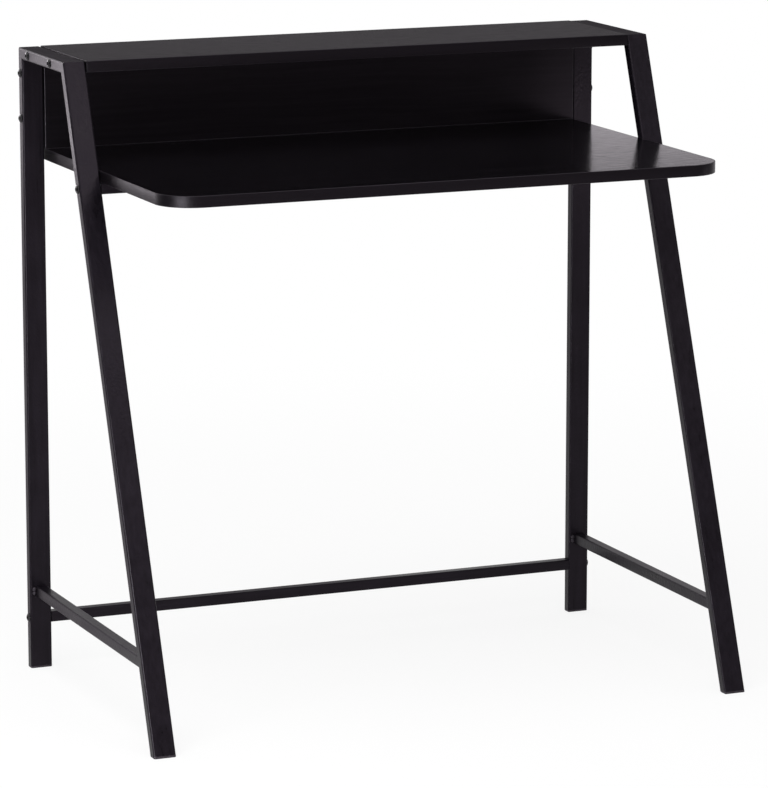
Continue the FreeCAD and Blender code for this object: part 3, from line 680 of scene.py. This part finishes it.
class DESK_OT_fit_bolts(bpy.types.Operator):
    """Button head bolts through the frames"""
    bl_idname = "desk.fit_bolts"
    bl_label = "Bolts"

    def execute(self, context):
        material = dip_painted_steel(context.scene.desk_colours)
        head = BOLT[0] * MM
        for node in ("shelf_bolts", "back_panel_bolts", "support_rail_bolts", "rear_stretcher_bolts"):
            low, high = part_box(node)
            middles = {(round(corner.y + inset, 5), round(corner.z + inset, 5))
                       for corner, inset in ((low, head), (high, -head))}
            bm = bmesh.new()
            for hand, side in SIDES:
                for y, z in sorted(middles):
                    turned_fastener(bm, (side * -RAIL_LOW.x, y, z), (-side, 0, 0), BOLT, context.scene.desk_sizes)
            new_object(f"{node}_turned", bm, [material], "bolt_steel", node)
        return {"FINISHED"}


class DESK_OT_fit_screws(bpy.types.Operator):
    """Screws up through the support rail and the desktop, and the nuts inside"""
    bl_idname = "desk.fit_screws"
    bl_label = "Screws and nuts"

    def execute(self, context):
        material = zinc_plated_steel(context.scene.desk_colours)
        coat(material, "shelf_nuts", "back_panel_nuts", "support_rail_end_nuts", "rear_stretcher_end_nuts")
        for node, screw in (("desktop_rail_screws", RAIL_SCREW), ("panel_base_screws", PANEL_SCREW)):
            low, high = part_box(node)
            head = screw[0] * MM
            bm = bmesh.new()
            for x in (low.x + head, (low.x + high.x) / 2, high.x - head):
                turned_fastener(bm, (x, (low.y + high.y) / 2, low.z + screw[1] * MM), (0, 0, 1), screw,
                                context.scene.desk_sizes)
            new_object(f"{node}_turned", bm, [material], "zinc_steel", node)
        return {"FINISHED"}


class DESK_OT_plug_feet(bpy.types.Operator):
    """Plastic plugs in the feet of the four legs"""
    bl_idname = "desk.plug_feet"
    bl_label = "Foot plugs"

    def execute(self, context):
        sizes = context.scene.desk_sizes
        material = moulded_polyethylene(context.scene.desk_colours)
        soft, wall, top = sizes.foot_round, sizes.foot_wall, FLANGE + sizes.foot_insert
        edge, lead, least_corner = 0.3 * MM, 1 * MM, 0.6 * MM
        # Height of each ring and how far it stands in from the flange
        rings_at = ((0, soft), (soft * 0.3, soft * 0.3), (soft, 0), (FLANGE - edge, 0),
                    (FLANGE, edge), (FLANGE, wall), (top - lead, wall), (top, wall + lead))
        for hand, side in SIDES:
            for leg, slope, slant in (("rear", 0, 1), ("front", SPLAY, SLANT)):
                node = f"{hand}_{leg}_foot_plug"
                deep = TUBE_DEEP * slant
                middle_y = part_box(node)[0].y + deep / 2
                rings = []
                for z, inset in rings_at:
                    outline = rounded_rectangle(TUBE_WIDE / 2 - inset, deep / 2 - inset * slant,
                                                max(sizes.tube_corner - inset, least_corner))
                    rings.append([(side * TUBE_MIDDLE_X + x, middle_y + slope * z + y, z) for x, y in outline])
                bm = bmesh.new()
                skin(bm, rings)
                new_object(f"{hand}_{leg}_foot", bm, [material], "foot_plastic", node)
        return {"FINISHED"}


class DESK_OT_set_studio(bpy.types.Operator):
    """Floor, room, lamps, cards and camera"""
    bl_idname = "desk.set_studio"
    bl_label = "Studio"

    def execute(self, context):
        bm = bmesh.new()
        bmesh.ops.create_circle(bm, cap_ends=True, segments=128, radius=FLOOR_RADIUS)
        stand("studio_floor", bm, studio_paper(context.scene.desk_colours))
        light_room()
        for name, place, target, size, power in LAMPS:
            add_lamp(name, Vector(place), Vector(target), size, power)
        for name, low, high, brightness in CARDS:
            add_card(name, low, high, brightness)
        add_camera()
        return {"FINISHED"}


def stand(name, bm, material):
    """Turn a mesh into part of the stage."""
    mesh = bpy.data.meshes.new(name)
    bm.to_mesh(mesh)
    bm.free()
    mesh.materials.append(material)
    item = bpy.data.objects.new(name, mesh)
    bpy.context.scene.collection.objects.link(item)
    return item


def light_room():
    """White room: the camera and mirrors see pure white, and the light itself is softer."""
    world = bpy.data.worlds.new("white_room")
    world.use_nodes = True
    tree = world.node_tree
    tree.nodes.clear()
    glow = add_node(tree, "ShaderNodeBackground", {"Color": (1, 1, 1, 1), "Strength": ROOM_LIGHT})
    white = add_node(tree, "ShaderNodeBackground", {"Color": (1, 1, 1, 1), "Strength": 1.0})
    mixed = add_node(tree, "ShaderNodeMixShader", {0: seen_directly(tree), 1: glow.outputs[0], 2: white.outputs[0]})
    add_node(tree, "ShaderNodeOutputWorld", {"Surface": mixed.outputs[0]})
    bpy.context.scene.world = world


def add_lamp(name, place, target, size, power):
    """Soft box that faces a target, and stays out of the picture."""
    lamp = bpy.data.lights.new(name, "AREA")
    lamp.shape = "RECTANGLE"
    lamp.size, lamp.size_y = size
    lamp.energy = power
    holder = bpy.data.objects.new(name, lamp)
    holder.location = place
    holder.rotation_euler = (target - place).to_track_quat("-Z", "Y").to_euler()
    holder.visible_camera = False
    bpy.context.scene.collection.objects.link(holder)


def add_card(name, low, high, brightness):
    """Card that only shows in the glossy finishes, and lights and shades nothing."""
    material, tree, place = new_material(name)
    height = add_node(tree, "ShaderNodeSeparateXYZ", {"Vector": place}).outputs["Z"]
    glow = add_node(tree, "ShaderNodeMapRange", {
        "Value": height, "From Min": low[2], "From Max": max(high[2], low[2] + 1 * MM),
        "To Min": brightness[0], "To Max": brightness[1]})
    finish_material(tree, add_node(tree, "ShaderNodeEmission", {
        "Color": CARD_TINTS.get(name, VIOLET_LIGHT), "Strength": glow.outputs[0]}))
    bm = bmesh.new()
    if low[2] == high[2]:
        corners = (low, (high[0], low[1], low[2]), high, (low[0], high[1], low[2]))
    else:
        corners = (low, (high[0], high[1], low[2]), high, (low[0], low[1], high[2]))
    bm.faces.new([bm.verts.new(corner) for corner in corners])
    card = stand(name, bm, material)
    card.visible_camera = card.visible_diffuse = card.visible_shadow = card.visible_transmission = False


def add_camera():
    """Camera at the photographer's place."""
    lens = bpy.data.cameras.new("camera")
    lens.sensor_width = SENSOR_MM
    lens.lens = VIEW_LENS_MM
    azimuth, elevation = math.radians(VIEW_AZIMUTH), math.radians(VIEW_ELEVATION)
    back = Vector((math.sin(azimuth) * math.cos(elevation), -math.cos(azimuth) * math.cos(elevation),
                   math.sin(elevation)))
    camera = bpy.data.objects.new("camera", lens)
    camera.location = VIEW_CENTRE + back * VIEW_DISTANCE
    camera.rotation_euler = (-back).to_track_quat("-Z", "Y").to_euler()
    bpy.context.scene.collection.objects.link(camera)
    bpy.context.scene.camera = camera


STEPS = (DESK_OT_coat_frames, DESK_OT_weld_frames, DESK_OT_face_boards, DESK_OT_band_edges,
         DESK_OT_fit_bolts, DESK_OT_fit_screws, DESK_OT_plug_feet, DESK_OT_set_studio)


class DESK_PT_steps(bpy.types.Panel):
    """Lists the groups of pieces of the desk"""
    bl_idname = "DESK_PT_steps"
    bl_label = "Desk"
    bl_space_type = "VIEW_3D"
    bl_region_type = "UI"
    bl_category = "Desk"

    def draw(self, context):
        for step in STEPS:
            self.layout.operator(step.bl_idname)
        for group in (context.scene.desk_sizes, context.scene.desk_colours):
            box = self.layout.box()
            for name in group.__annotations__:
                box.prop(group, name)


CLASSES = (DeskSizes, DeskColours, *STEPS, DESK_PT_steps)


def register():
    for item in CLASSES:
        bpy.utils.register_class(item)
    bpy.types.Scene.desk_sizes = bpy.props.PointerProperty(type=DeskSizes)
    bpy.types.Scene.desk_colours = bpy.props.PointerProperty(type=DeskColours)


def unregister():
    del bpy.types.Scene.desk_colours
    del bpy.types.Scene.desk_sizes
    for item in reversed(CLASSES):
        bpy.utils.unregister_class(item)


def main():
    register()
    bpy.context.scene.view_settings.view_transform = "Standard"
    for step in STEPS:
        group, name = step.bl_idname.split(".")
        getattr(getattr(bpy.ops, group), name)()


if __name__ == "__main__":
    main()
